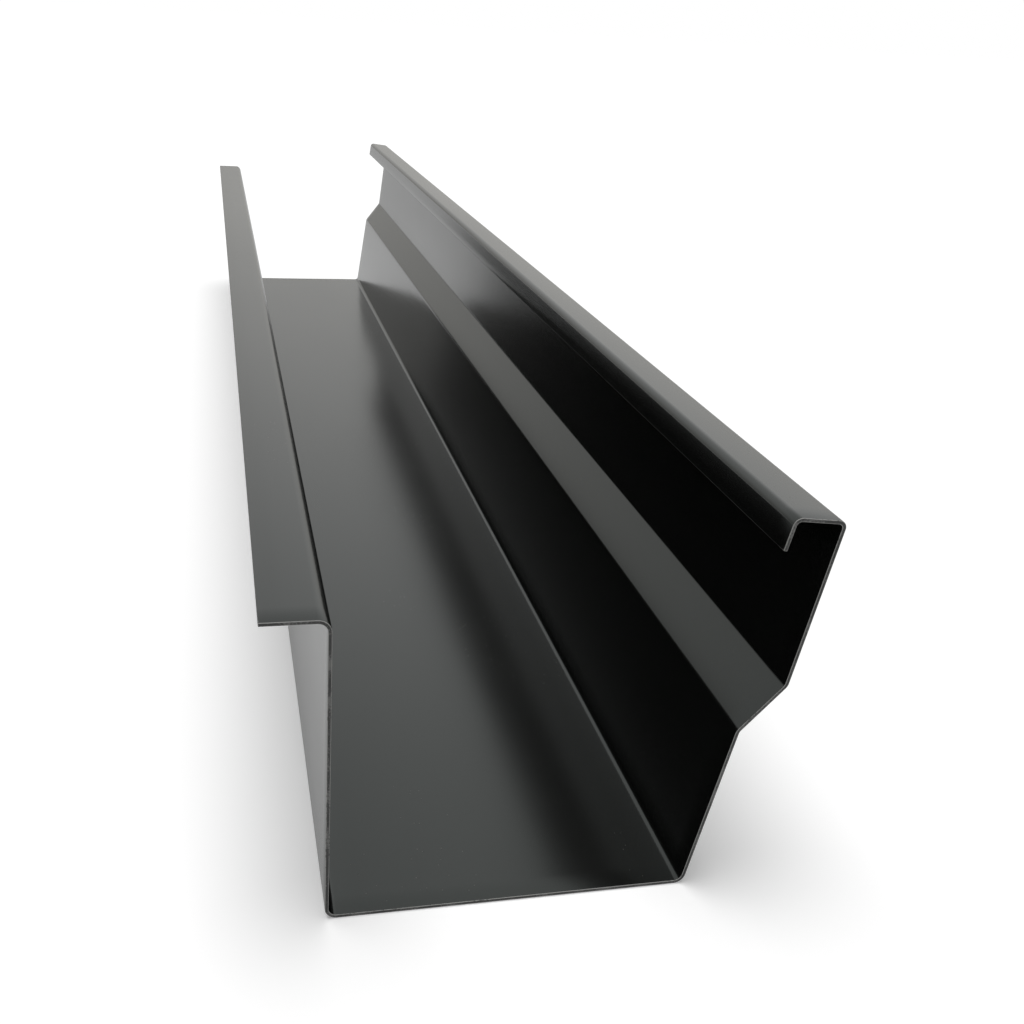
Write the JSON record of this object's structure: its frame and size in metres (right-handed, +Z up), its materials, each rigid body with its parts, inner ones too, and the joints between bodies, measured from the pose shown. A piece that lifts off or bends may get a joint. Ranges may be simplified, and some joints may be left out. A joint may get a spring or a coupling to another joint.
{
  "type": "gutter section",
  "caption": "Square-cut length of folded sheet-steel eaves gutter with a flanged back, a flat sole and a joggled front that ends in a hooked return.",
  "frame": {"origin": "middle of the sole's underside, at mid length", "axes": "+X across the trough from the back wall to the front, +Y along the gutter, +Z up out of the open trough"},
  "size_m": [0.2093, 1.1, 0.1717],
  "materials": {
    "coated_sheet": "satin"
  },
  "bodies": {
    "root": {"gutter_section": "coated_sheet"}
  },
  "joints": []
}
